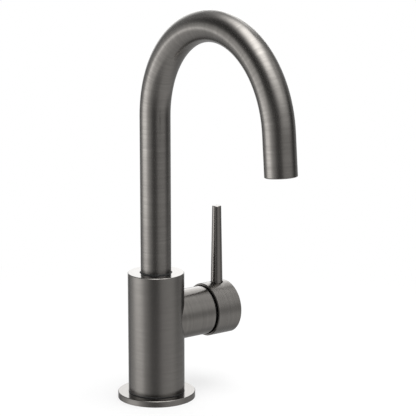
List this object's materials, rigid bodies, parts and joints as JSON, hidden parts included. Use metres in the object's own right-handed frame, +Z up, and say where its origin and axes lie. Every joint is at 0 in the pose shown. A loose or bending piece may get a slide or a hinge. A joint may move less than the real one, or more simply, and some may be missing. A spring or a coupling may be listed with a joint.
{
  "type": "gooseneck bar faucet",
  "caption": "Deck-mounted bar faucet with a swivelling gooseneck spout, a round body and one side lever on a tilting, turning cap that works a ceramic-disc cartridge.",
  "frame": {"origin": "middle of the base flange's underside, on the deck", "axes": "+Z up out of the deck along the body, -Y towards the spout's outlet at rest, +X along the handle's hub"},
  "size_m": [0.0879, 0.1734, 0.3345],
  "materials": {
    "dark_brushed_steel": "dark grey brushed metal, brushed round the tubes",
    "brass": "machined brass",
    "plain_steel": "plain stainless steel",
    "black_rubber": "matt black rubber",
    "black_plastic": "matt black plastic",
    "white_plastic": "off-white moulded plastic",
    "grey_plastic": "grey moulded plastic",
    "ceramic": "lapped alumina ceramic"
  },
  "bodies": {
    "body": {"base_flange": "dark_brushed_steel", "deck_seal": "black_rubber", "mounting_shank": "brass", "clamp_gasket": "black_rubber", "clamp_washer": "plain_steel", "mounting_nut": "brass", "body_tube": "dark_brushed_steel", "valve_stub": "dark_brushed_steel", "valve_core": "brass", "spout_bush": "black_plastic", "spout_thrust_washer": "white_plastic", "cartridge_seals": "black_rubber", "cartridge_base": "white_plastic", "fixed_disc": "ceramic", "cartridge_housing": "white_plastic", "bonnet_nut": "brass", "bonnet_dome": "black_plastic"},
    "spout": {"spout_tube": "dark_brushed_steel", "spout_collar": "brass", "spout_o_rings": "black_rubber", "spout_retaining_ring": "plain_steel", "aerator_sleeve": "brass", "aerator_washer": "black_rubber", "aerator_housing": "white_plastic", "aerator_screen": "white_plastic", "aerator_grid": "grey_plastic"},
    "turner": {"rotor": "grey_plastic", "rotor_seal": "black_rubber", "pivot_pin": "plain_steel"},
    "handle": {"lever_stem": "brass", "handle_cap": "dark_brushed_steel", "lever_rod": "dark_brushed_steel", "handle_set_screw": "plain_steel"},
    "mixer": {"moving_disc": "ceramic", "disc_carrier": "grey_plastic"}
  },
  "joints": [
    {"name": "spout_swivel", "type": "hinge", "parent": "body", "child": "spout", "pos_m": [0, 0, 0.08], "axis": [0, 0, 1], "continuous": true},
    {"name": "handle_temperature", "type": "hinge", "parent": "body", "child": "turner", "pos_m": [0.032, 0, 0.056], "axis": [1, 0, 0], "range_deg": [-50, 50]},
    {"name": "handle_flow", "type": "hinge", "parent": "turner", "child": "handle", "pos_m": [0.032, 0, 0.056], "axis": [0, 1, 0], "range_deg": [0, 25]},
    {"name": "disc_slide", "type": "slide", "parent": "turner", "child": "mixer", "axis": [0, 0, 1], "range_m": [0, 0.0036]}
  ],
  "couplings": [
    {"joint": "disc_slide", "follows": "handle_flow", "m_per_rad": 0.0082328}
  ]
}
